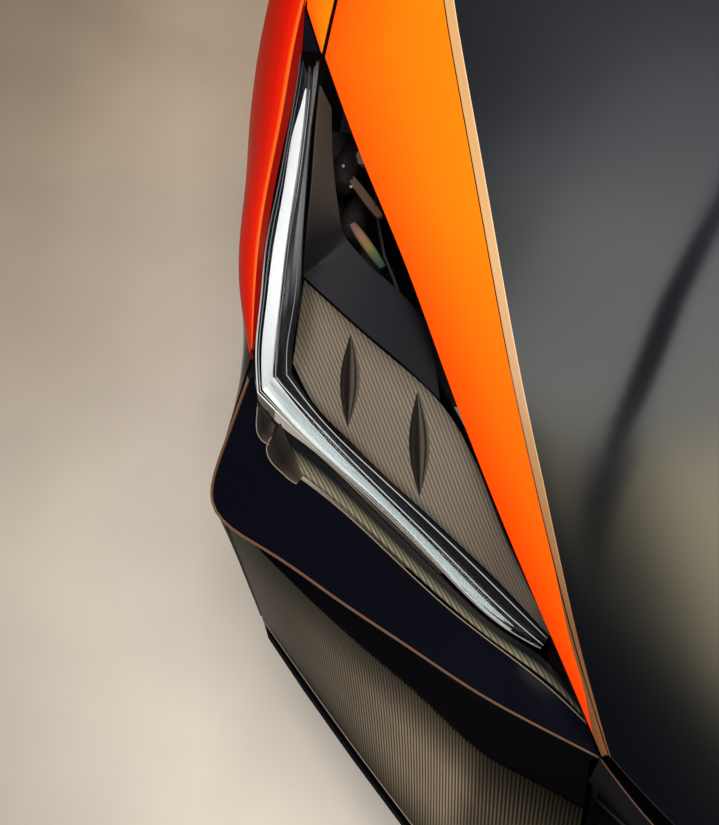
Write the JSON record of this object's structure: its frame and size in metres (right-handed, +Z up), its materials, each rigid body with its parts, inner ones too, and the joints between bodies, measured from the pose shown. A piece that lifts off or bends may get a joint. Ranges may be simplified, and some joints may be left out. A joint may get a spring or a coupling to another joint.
{
  "type": "sports car nose section",
  "caption": "Front end of a low sports car: rear-hinged lid over a luggage tub, wings with wheel arches, hooked lamps, bumper, splitter and intake, carried by a flat bulkhead.",
  "frame": {"origin": "middle of the bolt pattern on the rear mounting face of the bulkhead, 420 mm above the ground and on the centre plane", "axes": "+Y backwards out of the mounting face, so the nose points to -Y; +Z up; +X to the car's left"},
  "size_m": [1.998, 1.772, 0.8],
  "materials": {
    "orange_paint": "gloss",
    "black_paint": "satin",
    "gloss_black": "gloss",
    "carbon_twill": "gloss",
    "black_trim": "matte",
    "satin_grey": "satin",
    "clear_cover": "clear",
    "white_guide": "gloss",
    "lamp_metal": "satin",
    "structure_metal": "satin",
    "steel_fittings": "satin",
    "radiator_core": "matte",
    "rubber_stop": "matte"
  },
  "bodies": {
    "front_structure": {"wing_right": "orange_paint", "wing_left": "orange_paint", "wing_top_right": "orange_paint", "wing_top_left": "orange_paint", "bumper_corner_right": "gloss_black", "bumper_corner_left": "gloss_black", "bumper_side_right": "gloss_black", "bumper_side_left": "gloss_black", "nose_bar": "gloss_black", "lamp_bezel_right": "gloss_black", "lamp_bezel_left": "gloss_black", "bumper_undercut_right": "black_trim", "bumper_undercut_left": "black_trim", "luggage_tub": "black_trim", "arch_liner_right": "black_trim", "arch_liner_left": "black_trim", "intake_grille": "black_trim", "lamp_housing_right": "black_trim", "lamp_housing_left": "black_trim", "carbon_chin_right": "carbon_twill", "carbon_chin_left": "carbon_twill", "lamp_plate_right": "carbon_twill", "lamp_plate_left": "carbon_twill", "lamp_sill_right": "carbon_twill", "lamp_sill_left": "carbon_twill", "splitter": "carbon_twill", "lamp_shroud_right": "satin_grey", "lamp_shroud_left": "satin_grey", "lamp_lens_right": "clear_cover", "lamp_lens_left": "clear_cover", "light_guides": "white_guide", "lamp_projectors": "lamp_metal", "bulkhead": "structure_metal", "crash_rails": "structure_metal", "crash_beam": "structure_metal", "upper_rails": "structure_metal", "splitter_stays": "structure_metal", "bar_stays": "structure_metal", "lamp_brackets": "structure_metal", "hinge_brackets": "steel_fittings", "latch": "steel_fittings", "radiator": "radiator_core", "lid_stops": "rubber_stop"},
    "bonnet_lid": {"bonnet_skin": "black_paint", "bonnet_blade_right": "orange_paint", "bonnet_blade_left": "orange_paint", "bonnet_frame": "structure_metal", "hinge_arms": "steel_fittings", "lid_striker": "steel_fittings"}
  },
  "joints": [
    {"name": "lid_hinge", "type": "hinge", "parent": "front_structure", "child": "bonnet_lid", "pos_m": [0, 0.032, 0.416], "axis": [-1, 0, 0], "range_deg": [0, 55]}
  ]
}
